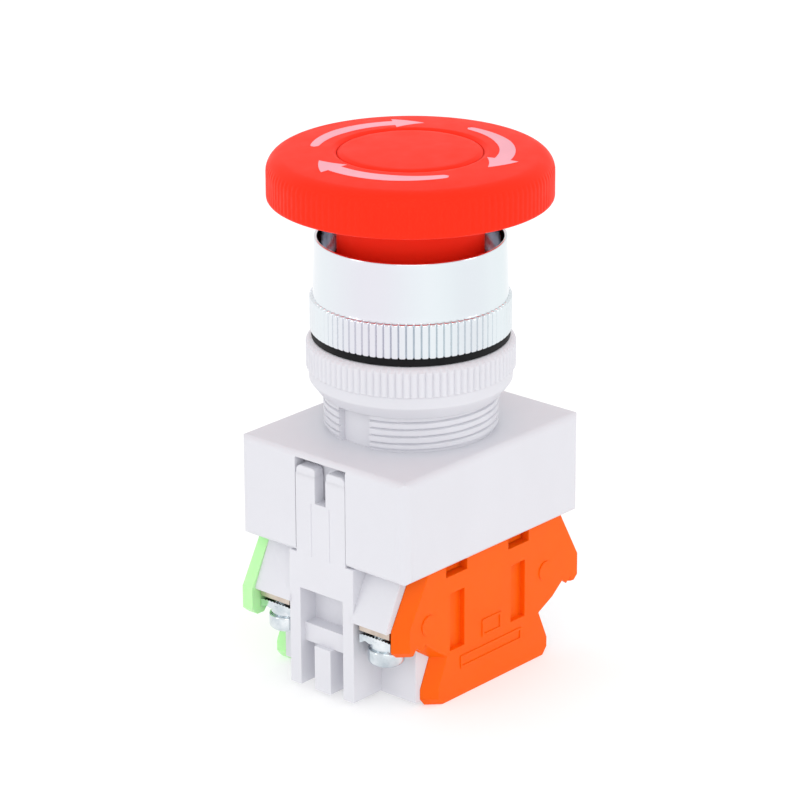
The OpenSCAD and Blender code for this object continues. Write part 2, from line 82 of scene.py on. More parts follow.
def rounded(corners, steps=4):
    """Closed outline through corners (x, y, radius), each corner turned into an arc."""
    out = []
    for i, (x, y, r) in enumerate(corners):
        here = Vector((x, y))
        before = (Vector(corners[i - 1][:2]) - here).normalized()
        after = (Vector(corners[(i + 1) % len(corners)][:2]) - here).normalized()
        if r == 0:
            out.append((x, y))
            continue
        half = before.angle(after) / 2
        start = here + before * (r / math.tan(half))
        centre = here + (before + after).normalized() * (r / sin(half))
        first = start - centre
        turn = pi - 2 * half
        if before.x * after.y - before.y * after.x > 0:
            turn = -turn
        for k in range(steps + 1):
            t = turn * k / steps
            right = centre.x + first.x * cos(t) - first.y * sin(t)
            up = centre.y + first.x * sin(t) + first.y * cos(t)
            out.append((right, up))
    return out


# ---------------------------------------------------------------- meshes


def piece(name, bm, body, material, nodes=(), sharp=SHARP):
    """Turns a bmesh into a finished piece that rides on a body and stands for CAD nodes."""
    bmesh.ops.remove_doubles(bm, verts=bm.verts, dist=1e-7)
    bmesh.ops.dissolve_degenerate(bm, edges=bm.edges, dist=1e-8)
    bmesh.ops.recalc_face_normals(bm, faces=bm.faces)
    for f in bm.faces:
        f.smooth = True
    for e in bm.edges:
        e.smooth = not (len(e.link_faces) == 2 and e.calc_face_angle(0) > sharp)
    mesh = bpy.data.meshes.new(name)
    bm.to_mesh(mesh)
    bm.free()
    mesh.materials.append(material)
    obj = bpy.data.objects.new(name, mesh)
    bpy.context.scene.collection.objects.link(obj)
    weighted = obj.modifiers.new("weighted_normals", "WEIGHTED_NORMAL")
    weighted.keep_sharp = True
    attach(obj, body)
    if nodes:
        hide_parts(*nodes)
    return obj


def add_grid(bm, rows, close_rows=True, close_columns=True):
    """Faces over rows of points; each row has the same number of points."""
    made = [[bm.verts.new(p) for p in row] for row in rows]
    height, width = len(rows), len(rows[0])
    for i in range(height if close_rows else height - 1):
        for j in range(width if close_columns else width - 1):
            a, b = made[i], made[(i + 1) % height]
            k = (j + 1) % width
            bm.faces.new((a[j], b[j], b[k], a[k]))
    return made


def add_lathe(bm, outline, steps, shape=None, centre=(0, 0)):
    """Closed outline (r, z) turned round an upright axis.

    shape(angle, r, z) gives the radius where it isn't round.
    """
    rows = []
    for i in range(steps):
        a = tau * i / steps
        row = []
        for r, z in outline:
            q = shape(a, r, z) if shape else r
            row.append((centre[0] + q * cos(a), centre[1] + q * sin(a), z))
        rows.append(row)
    add_grid(bm, rows)


def add_prism(bm, outline, low, high, place):
    """Outline (x, y) raised from low to high and placed by a matrix."""
    bottom = [bm.verts.new(place @ Vector((x, y, low))) for x, y in outline]
    top = [bm.verts.new(place @ Vector((x, y, high))) for x, y in outline]
    bm.faces.new(bottom)
    bm.faces.new(top)
    for i in range(len(outline)):
        k = (i + 1) % len(outline)
        bm.faces.new((bottom[i], bottom[k], top[k], top[i]))


def add_coil(bm, centre, radius, wire, low, high, turns, steps=36, sides=10, flat_turns=0.75):
    """Round wire wound between two heights, with closed turns at both ends."""
    count = int(turns * steps)
    rows = []
    for i in range(count + 1):
        t = i / steps
        closed = 2 * wire * 0.98
        inner = turns - 2 * flat_turns
        rise = high - low - 2 * wire - 2 * closed * flat_turns
        z = closed * min(t, flat_turns)
        z += rise * min(max(t - flat_turns, 0), inner) / inner
        z += closed * max(t - flat_turns - inner, 0)
        a = tau * t
        row = []
        for j in range(sides):
            b = tau * j / sides
            q = radius + wire * cos(b)
            row.append((centre[0] + q * cos(a), centre[1] + q * sin(a), low + wire + z + wire * sin(b)))
        rows.append(row)
    made = add_grid(bm, rows, close_rows=False)
    bm.faces.new(made[0])
    bm.faces.new(made[-1])


def bevel_sharp(bm, width, segments=2, above=28, skip=None):
    """Rounds every edge that turns by more than an angle, apart from those that skip(edge) picks."""
    bmesh.ops.remove_doubles(bm, verts=bm.verts, dist=2e-6)
    bmesh.ops.dissolve_limit(bm, angle_limit=radians(0.8), verts=bm.verts, edges=bm.edges)
    edges = [e for e in bm.edges if len(e.link_faces) == 2 and e.calc_face_angle(0) > radians(above)]
    edges = [e for e in edges if not (skip and skip(e))]
    bmesh.ops.bevel(
        bm,
        geom=edges,
        offset=width,
        segments=segments,
        profile=0.5,
        affect="EDGES",
        clamp_overlap=True,
        miter_outer="ARC",
    )


def merge(bm, solid):
    """Adds a second solid to a mesh and frees it."""
    mesh = bpy.data.meshes.new("merged_solid")
    solid.to_mesh(mesh)
    solid.free()
    bm.from_mesh(mesh)


def cad_copy(node):
    """The CAD node's own shape, to be finished with rounded edges."""
    bm = bmesh.new()
    bm.from_mesh(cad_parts[node].data)
    return bm


# ---------------------------------------------------------------- materials


class Nodes:
    """A short way to write a node tree."""

    def __init__(self, name):
        self.material = bpy.data.materials.new(name)
        self.material.use_nodes = True
        self.tree = self.material.node_tree
        self.shader = self.tree.nodes["Principled BSDF"]
        self.place = self.tree.nodes.new("ShaderNodeTexCoord").outputs["Object"]

    def add(self, kind, inputs=(), **settings):
        node = self.tree.nodes.new(kind)
        for key, value in settings.items():
            setattr(node, key, value)
        for key, value in dict(inputs).items():
            if isinstance(value, bpy.types.NodeSocket):
                self.tree.links.new(value, node.inputs[key])
            else:
                node.inputs[key].default_value = value
        return node

    def noise(self, scale, detail=3.0, roughness=0.55, stretch=(1, 1, 1)):
        place = self.add("ShaderNodeMapping", {"Vector": self.place, "Scale": stretch}).outputs["Vector"]
        node = self.add(
            "ShaderNodeTexNoise", {"Vector": place, "Scale": scale, "Detail": detail, "Roughness": roughness}
        )
        return node.outputs["Fac"]

    def span(self, value, low, high):
        """Maps noise, which lies mostly between 0.3 and 0.7, to low and high."""
        node = self.add(
            "ShaderNodeMapRange",
            {"Value": value, "From Min": 0.3, "From Max": 0.7, "To Min": low, "To Max": high},
        )
        return node.outputs["Result"]

    def math(self, operation, a, b=0.0, clamp=False):
        node = self.add("ShaderNodeMath", {0: a, 1: b}, operation=operation, use_clamp=clamp)
        return node.outputs["Value"]

    def blend(self, factor, a, b, mode="MIX"):
        node = self.add("ShaderNodeMix", data_type="RGBA", blend_type=mode)
        for key, value in ((0, factor), (6, a), (7, b)):
            if isinstance(value, bpy.types.NodeSocket):
                self.tree.links.new(value, node.inputs[key])
            else:
                node.inputs[key].default_value = value
        return node.outputs[2]

    def bump(self, height, distance, strength=1.0, normal=None):
        inputs = {"Height": height, "Distance": distance, "Strength": strength}
        if normal is not None:
            inputs["Normal"] = normal
        return self.add("ShaderNodeBump", inputs).outputs["Normal"]

    def set(self, **values):
        for key, value in values.items():
            socket = self.shader.inputs[key.replace("_", " ")]
            if isinstance(value, bpy.types.NodeSocket):
                self.tree.links.new(value, socket)
            else:
                socket.default_value = value
        return self.material


def shade(colour, gain):
    return tuple(min(1.0, c * gain) for c in colour[:3]) + (1.0,)


def moulded(
    name, colour, roughness, grain=0.00001, grain_scale=5200, mottle=0.04, gloss=0.5, glow=0.0, radius=None
):
    """Moulded plastic: faint flow mottling, a fine spark-eroded grain and uneven gloss."""
    n = Nodes(name)
    flow = n.noise(90, detail=4, stretch=(1, 1, 0.6))
    fine = n.noise(grain_scale, detail=2)
    smudge = n.noise(260, detail=5)
    base = n.blend(n.span(flow, 0, 1), shade(colour, 1 - mottle), shade(colour, 1 + mottle))
    n.set(
        Base_Color=base,
        Roughness=n.span(smudge, roughness - 0.04, roughness + 0.05),
        Normal=n.bump(fine, grain, 0.6, n.bump(smudge, 0.00002, 0.25)),
    )
    n.shader.inputs["Specular IOR Level"].default_value = gloss
    if radius:
        n.shader.inputs["Subsurface Weight"].default_value = glow
        n.shader.inputs["Subsurface Radius"].default_value = radius
        n.shader.inputs["Subsurface Scale"].default_value = 0.001
    return n.material


def plated(name, dark, light, roughness, patch_scale=520, wave=0.00001, streak=0.02):
    """Plated metal: slow waviness, drawn streaks and patches of lighter and darker plating."""
    n = Nodes(name)
    slow = n.noise(140, detail=2)
    patch = n.noise(patch_scale, detail=5, roughness=0.6)
    lines = n.noise(1500, detail=3, stretch=(1, 1, 0.03))
    rough = n.span(patch, roughness - 0.03, roughness + 0.05)
    n.set(
        Base_Color=n.blend(n.span(patch, 0, 1), dark + (1,), light + (1,)),
        Metallic=1.0,
        Roughness=n.math("ADD", rough, n.span(lines, 0, streak), clamp=True),
        Normal=n.bump(lines, 0.000004, 0.3, n.bump(slow, wave, 0.4)),
    )
    return n.material


def satin_chrome(name):
    """Satin chrome whose base colour carries soft upright bands of cool, warm and lighter tint round the
    axis, as painted reflections of the studio.
    """
    n = Nodes(name)
    # painted reflection: the upright bands and the lilac and mint tints stand in for reflected studio light
    painted_reflection_band = n.noise(75, detail=1.5, stretch=(1, 1, 0.02))
    painted_reflection_tint = n.noise(48, detail=1, stretch=(1, 1, 0.03))
    fine = n.noise(2600, detail=2, stretch=(1, 1, 0.05))
    haze = n.noise(300, detail=4)
    painted_reflection_hue = n.blend(n.span(painted_reflection_tint, 0, 1), (0.70, 0.65, 0.73, 1), (0.68, 0.79, 0.80, 1))
    n.set(
        # base colour mixes the painted reflection tints with lighter painted reflection bands
        Base_Color=n.blend(n.span(painted_reflection_band, 0, 0.55), painted_reflection_hue, (0.83, 0.84, 0.88, 1)),
        Metallic=1.0,
        Roughness=n.span(haze, 0.11, 0.17),
        Normal=n.bump(fine, 0.000003, 0.3),
    )
    return n.material


def rubber(name):
    n = Nodes(name)
    fine = n.noise(3000, detail=4)
    dust = n.noise(400, detail=5)
    n.set(
        Base_Color=n.blend(n.span(dust, 0, 1), (0.003, 0.003, 0.004, 1), (0.008, 0.008, 0.009, 1)),
        Roughness=n.span(dust, 0.5, 0.68),
        Normal=n.bump(fine, 0.00002, 0.5),
    )
    n.shader.inputs["Specular IOR Level"].default_value = 0.15
    return n.material


RED = moulded(
    "red_plastic", (0.98, 0.028, 0.009), 0.46, glow=0.08, radius=(1.0, 0.12, 0.06), mottle=0.015, gloss=0.07
)
PRINT = moulded("arrow_print", (0.93, 0.43, 0.50), 0.6, mottle=0.04, gloss=0.1)
CHROME = satin_chrome("satin_chrome")
RUBBER = rubber("black_rubber")
WHITE = moulded(
    "white_plastic", (0.70, 0.70, 0.745), 0.44, mottle=0.015, glow=0.1, radius=(1.0, 1.0, 1.0), gloss=0.4
)
ORANGE = moulded("orange_plastic", (0.92, 0.120, 0.001), 0.42, gloss=0.14, glow=0.2, radius=(1.0, 0.4, 0.05))
GREEN = moulded("green_plastic", (0.50, 0.93, 0.42), 0.38, glow=0.3, radius=(0.4, 1.0, 0.3), gloss=0.3)
ZINC = plated("zinc_plate", (0.50, 0.57, 0.62), (0.93, 0.96, 0.98), 0.13, patch_scale=240, wave=0.00003)
PLATE = plated("terminal_brass", (0.52, 0.43, 0.36), (0.70, 0.62, 0.55), 0.36)
COPPER = plated("contact_copper", (0.72, 0.36, 0.20), (0.88, 0.52, 0.34), 0.30)
SILVER = plated("silver_alloy", (0.72, 0.72, 0.70), (0.90, 0.90, 0.88), 0.25)
STEEL = plated("spring_steel", (0.42, 0.43, 0.45), (0.62, 0.62, 0.64), 0.26)
IVORY = moulded("ivory_acetal", (0.66, 0.61, 0.48), 0.40, glow=0.1, radius=(1.0, 0.9, 0.7))

# ---------------------------------------------------------------- operating head


EDGE_R = 2.5 * MM
DOME_SLOPE = 5
DOME_R = 86 * MM
RECESS_R = 10.2 * MM
GROOVE = 0.7 * MM


def dome_centre(cap_r, top):
    """Centre (r, z) of the dome's wide arc, which meets the rounded edge at the dome's slope."""
    return cap_r - EDGE_R + (EDGE_R - DOME_R) * sin(radians(DOME_SLOPE)), top - DOME_R


def dome_height(r, cap_r, top):
    """Height of the dome's surface at radius r."""
    x, z = dome_centre(cap_r, top)
    return z + math.sqrt(DOME_R**2 - (r - x) ** 2)


def cap_profile():
    """Outline of the mushroom cap from its recess, over the dome and rim, and back under the roof."""
    low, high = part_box("mushroom_cap")
    cap_r, skirt_bottom, top = high.x, low.z, high.z
    rim_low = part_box("bezel_ring")[1].z + 5.45 * MM
    dome_x, dome_z = dome_centre(cap_r, top)
    edge_x = cap_r - EDGE_R
    edge_z = dome_z + (DOME_R - EDGE_R) * cos(radians(DOME_SLOPE))
    lip_z = dome_height(RECESS_R + GROOVE, cap_r, top)
    dome_end = math.degrees(math.acos((RECESS_R + GROOVE - dome_x) / DOME_R))
    inner_r, skirt_r, skirt_in = cap_r - 1.8 * MM, 10.3 * MM, 8.9 * MM
    floor = top - 1.8 * MM
    web = floor - 1.5 * MM
    outline = [(0, web), (skirt_in, web)]
    outline += arc(skirt_in + 0.3 * MM, skirt_bottom + 0.3 * MM, 0.3 * MM, 180, 270, 3)
    outline += arc(skirt_r - 0.4 * MM, skirt_bottom + 0.4 * MM, 0.4 * MM, 270, 360, 4)
    outline += arc(skirt_r + 0.6 * MM, web - 0.6 * MM, 0.6 * MM, 180, 90, 4)
    outline += arc(inner_r - 1.2 * MM, web - 1.2 * MM, 1.2 * MM, 90, 0, 5)
    outline += arc(inner_r + 0.3 * MM, rim_low + 0.3 * MM, 0.3 * MM, 180, 270, 3)
    outline += arc(cap_r - 0.5 * MM, rim_low + 0.5 * MM, 0.5 * MM, 270, 360, 4)
    steps = 10
    outline += [(cap_r, rim_low + (edge_z - rim_low) * i / steps) for i in range(2, steps)]
    outline += arc(edge_x, edge_z, EDGE_R, 0, 90 - DOME_SLOPE, 16)
    outline += arc(dome_x, dome_z, DOME_R, 90 - DOME_SLOPE, dome_end, 16)[1:]
    outline += [(RECESS_R + GROOVE - 0.04 * MM, lip_z - 0.01 * MM), (RECESS_R + 0.06 * MM, lip_z - 0.26 * MM)]
    outline += [(RECESS_R, lip_z - 0.34 * MM), (RECESS_R, floor), (0, floor)]
    return outline, rim_low, edge_z, cap_r


def make_cap():
    outline, rim_low, edge_z, cap_r = cap_profile()
    ribs = 124
    depth = 0.075 * MM
    fade = 0.5 * MM

    def shape(angle, r, z):
        """Shallow upright ribs round the rim wall that run out on its rounded edges."""
        if r < cap_r - EDGE_R * 0.42:
            return r
        out = min(1, max(0, (z - rim_low - 0.25 * MM) / fade))
        out *= min(1, max(0, (edge_z + EDGE_R * 0.55 - z) / (EDGE_R * 0.12)))
        wave = 0.5 - 0.5 * cos(ribs * angle)
        return r - depth * out * wave**2

    bm = bmesh.new()
    add_lathe(bm, outline, ribs * 6, shape)
    web = outline[0][1]
    half = 0.5 * MM
    rib = [(10 * MM, -half), (18.5 * MM, -half), (18.5 * MM, half), (10 * MM, half)]
    for i in range(8):
        place = Matrix.Rotation(radians(45 * i + 22.5), 4, "Z")
        add_prism(bm, rib, web - 2.6 * MM, web + 0.4 * MM, place)
    piece("cap", bm, "cap", RED, ["mushroom_cap"])


def make_arrows():
    """Three printed arrows that turn clockwise seen from above."""
    band_in, band_out = 12.3 * MM, 14.5 * MM
    barb_in, barb_out = 11.2 * MM, 15.7 * MM
    middle = 13.4 * MM
    lift = 0.035 * MM
    sweep, head = 73, 18
    cap_r, _, cap_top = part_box("mushroom_cap")[1]
    for k, start in enumerate((-116, 4, 124)):
        rows = []
        steps = 60
        for i in range(steps + 1):
            t = i / steps
            angle = radians(start - sweep * t)
            grow = min(1, 0.55 + t * 0.9)
            tail = math.sqrt(max(0, 1 - max(0, 1 - t * steps / 3) ** 2)) if t < 3 / steps else 1
            a = middle + (band_in - middle) * grow * tail
            b = middle + (band_out - middle) * grow * tail
            rows.append((angle, a, b))
        for i in range(13):
            t = i / 12
            angle = radians(start - sweep - head * t)
            spread = 1 - t
            rows.append((angle, middle + (barb_in - middle) * spread, middle + (barb_out - middle) * spread))
        bm = bmesh.new()
        across = 6
        grid = []
        for angle, a, b in rows:
            radii = [a + (b - a) * j / across for j in range(across + 1)]
            heights = [dome_height(q, cap_r, cap_top) + lift for q in radii]
            grid.append([(q * cos(angle), q * sin(angle), z) for q, z in zip(radii, heights)])
        top = add_grid(bm, grid, close_rows=False, close_columns=False)
        underside = [[(x, y, z - 2 * lift) for x, y, z in row] for row in grid]
        bottom = add_grid(bm, underside, close_rows=False, close_columns=False)
        for i in range(len(grid) - 1):
            for j in (0, across):
                bm.faces.new((top[i][j], top[i + 1][j], bottom[i + 1][j], bottom[i][j]))
        piece(f"arrow_{k + 1}", bm, "cap", PRINT)


def make_disc():
    low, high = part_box("cap_disc")
    r, bottom, top = high.x, low.z, high.z
    outline = [(0, bottom + 1.1 * MM), (2.2 * MM, bottom + 1.1 * MM), (2.2 * MM, bottom), (4.6 * MM, bottom)]
    outline += [(4.6 * MM, bottom + 1 * MM), (r - 0.8 * MM, bottom + 1 * MM)]
    outline += [(r - 0.8 * MM, bottom), (r, bottom)]
    crown = 0.15 * MM
    rim = top - crown
    flat = r - 0.7 * MM
    outline += [(r, rim - 0.34 * MM), (r - 0.06 * MM, rim - 0.26 * MM), (flat + 0.06 * MM, rim - 0.02 * MM)]
    outline += [(flat, rim)]
    count = 14
    outline += [(flat * (1 - i / count), top - crown * (1 - i / count) ** 2) for i in range(1, count + 1)]
    bm = bmesh.new()
    add_lathe(bm, outline, 192)
    piece("centre_disc", bm, "cap", RED, ["cap_disc"])


make_cap()
make_disc()
make_arrows()

# ---------------------------------------------------------------- panel mounting


def toothed(angle, teeth, land=0.55):
    """0 on a tooth's land and 1 at the bottom of the groove between teeth."""
    t = abs((angle * teeth / tau) % 1 - 0.5) * 2
    return max(0.0, (t - land) / (1 - land))


def make_bezel():
    low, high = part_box("bezel_ring")
    knurl_r, bottom, top = high.x, low.z, high.z
    knurl_top = bottom + 5.05 * MM
    top_r, low_r, mouth_r = 13.48 * MM, 13.73 * MM, 13 * MM
    neck_r, lip_r, lip_top, seal_top = 11.8 * MM, 10.9 * MM, 7 * MM, 6.2 * MM
    depth = 0.32 * MM
    teeth = 84
    outline = [(neck_r, bottom), (knurl_r - 0.7 * MM, bottom)]
    outline += arc(knurl_r - 0.3 * MM, bottom + 0.3 * MM, 0.3 * MM, 270, 360, 4)
    outline += [(knurl_r, bottom + (knurl_top - bottom) * i / 6) for i in range(1, 6)]
    outline += arc(knurl_r - 0.3 * MM, knurl_top - 0.3 * MM, 0.3 * MM, 0, 90, 4)
    outline += [(low_r + 0.04 * MM, knurl_top + 0.02 * MM), (low_r, knurl_top + 0.25 * MM)]
    rise = top - 0.5 * MM - knurl_top
    steps = 10
    for i in range(1, steps):
        outline.append((low_r + (top_r - low_r) * i / steps, knurl_top + 0.25 * MM + rise * i / steps))
    outline += arc(top_r - 0.24 * MM, top - 0.24 * MM, 0.24 * MM, 0, 90, 5)
    outline += arc(mouth_r + 0.24 * MM, top - 0.24 * MM, 0.24 * MM, 90, 180, 5)
    outline += arc(mouth_r - 0.5 * MM, lip_top + 0.5 * MM, 0.5 * MM, 0, -90, 4)
    outline += [(lip_r, lip_top), (lip_r, seal_top), (neck_r, seal_top)]

    def shape(angle, r, z):
        if r < low_r + 0.08 * MM or z > knurl_top:
            return r
        return max(r - depth * toothed(angle, teeth, 0.68), low_r + 0.02 * MM)

    bm = bmesh.new()
    add_lathe(bm, outline, teeth * 8, shape)
    piece("bezel", bm, "base", CHROME, ["bezel_ring"])


def make_gasket():
    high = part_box("gasket")[1]
    r_in, r = 12.4 * MM, high.x
    bm = bmesh.new()
    outline = rounded([(r_in, 0, 0), (r, 0, 0.2 * MM), (r, high.z, 0.2 * MM), (r_in, high.z, 0)])
    add_lathe(bm, outline, 192)
    piece("panel_gasket", bm, "base", RUBBER, ["gasket"])


def make_nut():
    low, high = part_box("panel_nut")
    r, bottom, top = high.x, low.z, high.z
    ribs = 88
    body_r = r - 0.4 * MM
    rib_low = -4.5 * MM
    bore = 12.45 * MM
    outline = [(bore, bottom + 0.4 * MM), (bore + 0.4 * MM, bottom)]
    foot = [(12.9 * MM, bottom, 0), (13 * MM, bottom, 0.08 * MM), (body_r, bottom + 1.8 * MM, 0.5 * MM)]
    outline += rounded(foot + [(body_r, rib_low, 0)])[1:-1]
    outline += [(body_r, rib_low - 0.15 * MM), (body_r + 0.02 * MM, rib_low)]
    rib_top = top - 0.7 * MM
    outline += [(r, rib_low + 0.25 * MM)]
    outline += [(r, rib_low + (rib_top - rib_low) * i / 6) for i in range(1, 7)]
    outline += [(r - 0.25 * MM, top - 0.4 * MM), (r - 0.7 * MM, top - 0.06 * MM)]
    outline += [(r - 0.9 * MM, top), (bore, top)]

    def shape(angle, q, z):
        if q <= body_r + 0.03 * MM or z < rib_low:
            return q
        return q - 0.3 * MM * toothed(angle, ribs, 0.4) * min(1, (q - body_r) / (0.3 * MM))

    bm = bmesh.new()
    add_lathe(bm, outline, ribs * 8, shape)
    piece("nut", bm, "nut", WHITE, ["panel_nut"])


make_bezel()
make_gasket()
make_nut()

# ---------------------------------------------------------------- housing and sleeve


def make_housing():
    """Housing block with rounded edges, and its sleeve with a real helical thread."""
    bm = cad_copy("upper_housing")
    bmesh.ops.remove_doubles(bm, verts=bm.verts, dist=1e-6)
    cut = bmesh.ops.bisect_plane(
        bm,
        geom=bm.verts[:] + bm.edges[:] + bm.faces[:],
        plane_co=(0, 0, SLEEVE_BOTTOM + 0.02 * MM),
        plane_no=(0, 0, 1),
        clear_outer=True,
    )
    rim = [e for e in cut["geom_cut"] if isinstance(e, bmesh.types.BMEdge)]
    bmesh.ops.triangle_fill(bm, edges=rim, use_beauty=True)

    def at_cut(edge):
        return all(v.co.z > SLEEVE_BOTTOM + 0.01 * MM for v in edge.verts)

    bevel_sharp(bm, 0.22 * MM, 3, skip=at_cut)
    add_sleeve(bm, SLEEVE_BOTTOM)
    piece("housing", bm, "base", WHITE, ["upper_housing"])


def add_sleeve(bm, bottom):
    """Sleeve wall with a helical thread of broad ridges, a plain collar above it and a keyway at each end."""
    crest, root, bore, neck = 12.4 * MM, 12.0 * MM, 10.7 * MM, 11.8 * MM
    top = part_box("upper_housing")[1].z
    pitch, collar = 1.05 * MM, 0.9 * MM
    key_half, key_r = 2.82 * MM, 11.4 * MM
    key_angle = math.degrees(math.asin(key_half / crest))
    inside, outside = 10, 170
    angles = []
    for side in (0, 180):
        angles += [side - key_angle + 2 * key_angle * i / inside for i in range(inside + 1)]
        start, end = side + key_angle + 0.15, side + 180 - key_angle - 0.15
        angles += [start + (end - start) * i / outside for i in range(outside + 1)]
    rows = 170
    start_z = bottom - 0.1 * MM
    grid = []
    for degree in angles:
        a = radians(degree)
        in_key = abs((degree + 90) % 180 - 90) < key_angle + 0.05
        row = [(bore, bottom - 0.5 * MM)]
        for j in range(rows + 1):
            z = start_z * (1 - j / rows)
            away = 2 * abs((z / pitch - a / tau) % 1 - 0.5)
            tooth = min(1, max(0, (0.88 - away) / 0.2))
            run_out = min(1, max(0, (z - bottom - 0.25 * MM) / (0.4 * MM)))
            r = root + (crest - root) * tooth * run_out
            if z > -collar:
                r = crest
            row.append((min(r, key_r) if in_key else r, z))
        row += [(neck, 0.001 * MM), (neck, top), (bore, top)]
        grid.append([(r * cos(a), r * sin(a), z) for r, z in row])
    add_grid(bm, grid)


make_housing()

# ---------------------------------------------------------------- contact frame and covers


def add_shroud_ribs(bm):
    """Thin rib under each shroud's outer end, which closes it against the side cover."""
    top, foot = -28.6 * MM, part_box("nc_plate_left")[1].z + 0.3 * MM
    rib = [(14.2 * MM, top), (16.0 * MM, top), (18.7 * MM, foot + 0.5 * MM)]
    rib += [(18.7 * MM, foot), (16.6 * MM, foot)]
    outer, depth = 12.37 * MM, 0.5 * MM
    for end in (-1, 1):
        for side in (-1, 1):
            place = Matrix(((end, 0, 0, 0), (0, 0, side, 0), (0, 1, 0, 0), (0, 0, 0, 1)))
            solid = bmesh.new()
            add_prism(solid, rib, outer - depth, outer, place)
            bmesh.ops.recalc_face_normals(solid, faces=solid.faces)
            merge(bm, solid)


def make_frame():
    """Contact frame with rounded edges, and the two round-topped lobes of each clip arm."""
    bm = cad_copy("contact_frame")
    bmesh.ops.remove_doubles(bm, verts=bm.verts, dist=1e-6)
    shoulder = -16.3 * MM
    cut = bmesh.ops.bisect_plane(
        bm,
        geom=bm.verts[:] + bm.edges[:] + bm.faces[:],
        plane_co=(0, 0, shoulder),
        plane_no=(0, 0, 1),
        clear_outer=True,
    )
    rim = [e for e in cut["geom_cut"] if isinstance(e, bmesh.types.BMEdge)]
    bmesh.ops.contextual_create(bm, geom=rim)

    def kept_sharp(edge):
        at_cut = all(abs(v.co.z - shoulder) < 0.01 * MM for v in edge.verts)
        under_cover = all(abs(v.co.y) > 12.38 * MM for v in edge.verts)
        return at_cut or under_cover

    bevel_sharp(bm, 0.22 * MM, 3, skip=kept_sharp)
    arm_back, front, tip = 17.3 * MM, 19.2 * MM, -15.1 * MM
    low = shoulder - 0.3 * MM
    lobe = [(1.02 * MM, low, 0), (4.58 * MM, low, 0), (4.58 * MM, tip, 0.9 * MM), (1.02 * MM, tip, 0.6 * MM)]
    for end in (-1, 1):
        for side in (-1, 1):
            place = Matrix(((0, 0, end, 0), (side, 0, 0, 0), (0, 1, 0, 0), (0, 0, 0, 1)))
            solid = bmesh.new()
            add_prism(solid, rounded(lobe, 6), arm_back + 0.02 * MM, front - 0.02 * MM, place)
            bmesh.ops.recalc_face_normals(solid, faces=solid.faces)
            bevel_sharp(solid, 0.2 * MM, 3, above=50, skip=lambda e: all(v.co.z < shoulder for v in e.verts))
            merge(bm, solid)
    add_shroud_ribs(bm)
    piece("frame", bm, "base", WHITE, ["contact_frame"])


def make_cover(node, name, material):
    """Side cover with rounded edges, apart from its low raised lines and its thin inner edge.

    Both covers are the same part, and the second is turned half round.
    """
    face, inner = 14.31 * MM, 12.4 * MM
    bm = cad_copy("nc_cover")
    if node == "no_cover":
        bmesh.ops.rotate(bm, cent=(0, 0, 0), matrix=Matrix.Rotation(radians(180), 3, "Z"), verts=bm.verts)

    def thin(edge):
        raised = any(abs(v.co.y) > face for f in edge.link_faces for v in f.verts)
        return raised or all(abs(v.co.y) < inner + 0.35 * MM for v in edge.verts)

    bevel_sharp(bm, 0.28 * MM, 3, skip=thin)
    side = -1 if node == "nc_cover" else 1
    web = [(4.6 * MM, -30.3 * MM), (8.9 * MM, -30.3 * MM), (8.9 * MM, -28.5 * MM), (4.6 * MM, -28.5 * MM)]
    for end in (-1, 1):
        place = Matrix(((end, 0, 0, 0), (0, 0, side, 0), (0, 1, 0, 0), (0, 0, 0, 1)))
        add_prism(bm, web, inner + 0.05 * MM, inner + 0.6 * MM, place)
    piece(name, bm, "base", material, [node])


make_frame()
make_cover("nc_cover", "opening_side_cover", ORANGE)
make_cover("no_cover", "closing_side_cover", GREEN)

# ---------------------------------------------------------------- springs


def make_spring(node, body, centre, radius, wire, turns):
    """Wound spring that takes the place of a CAD coil between the coil's own two ends."""
    low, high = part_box(node)
    bm = bmesh.new()
    add_coil(bm, centre, radius, wire, low.z, high.z, turns)
    return piece(f"{node}_wire", bm, body, STEEL, [node])


def make_latch_springs():
    """Two small springs that lie along Y, one behind each latch pin."""
    low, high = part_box("latch_springs")
    start = 8.6 * MM
    bm = bmesh.new()
    for side in (-1, 1):
        wire = bmesh.new()
        add_coil(wire, (0, 0), 0.95 * MM, 0.2 * MM, start, high.y, 7, steps=20, sides=8)
        turn = Matrix.Translation((0, 0, (low.z + high.z) / 2)) @ Matrix.Rotation(radians(-90 * side), 4, "X")
        wire.transform(turn)
        mesh = bpy.data.meshes.new("wire")
        wire.to_mesh(mesh)
        wire.free()
        bm.from_mesh(mesh)
    piece("latch_spring_wires", bm, "base", STEEL, ["latch_springs"])


def make_springs():
    contact_y = 9.4 * MM
    make_spring("twist_spring", "stem", (0, 0), 6.4 * MM, 0.4 * MM, 8)
    back = make_spring("return_spring", "base", (0, 0), 6.1 * MM, 0.55 * MM, 8.5)
    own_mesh(back)
    for node, y, radius in (("nc_spring", -contact_y, 2.3 * MM), ("no_spring", contact_y, 2.2 * MM)):
        wire = make_spring(node, "base", (0, y), radius, 0.25 * MM, 7 if y < 0 else 10)
        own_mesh(wire)
    make_latch_springs()


make_springs()

# ---------------------------------------------------------------- terminals


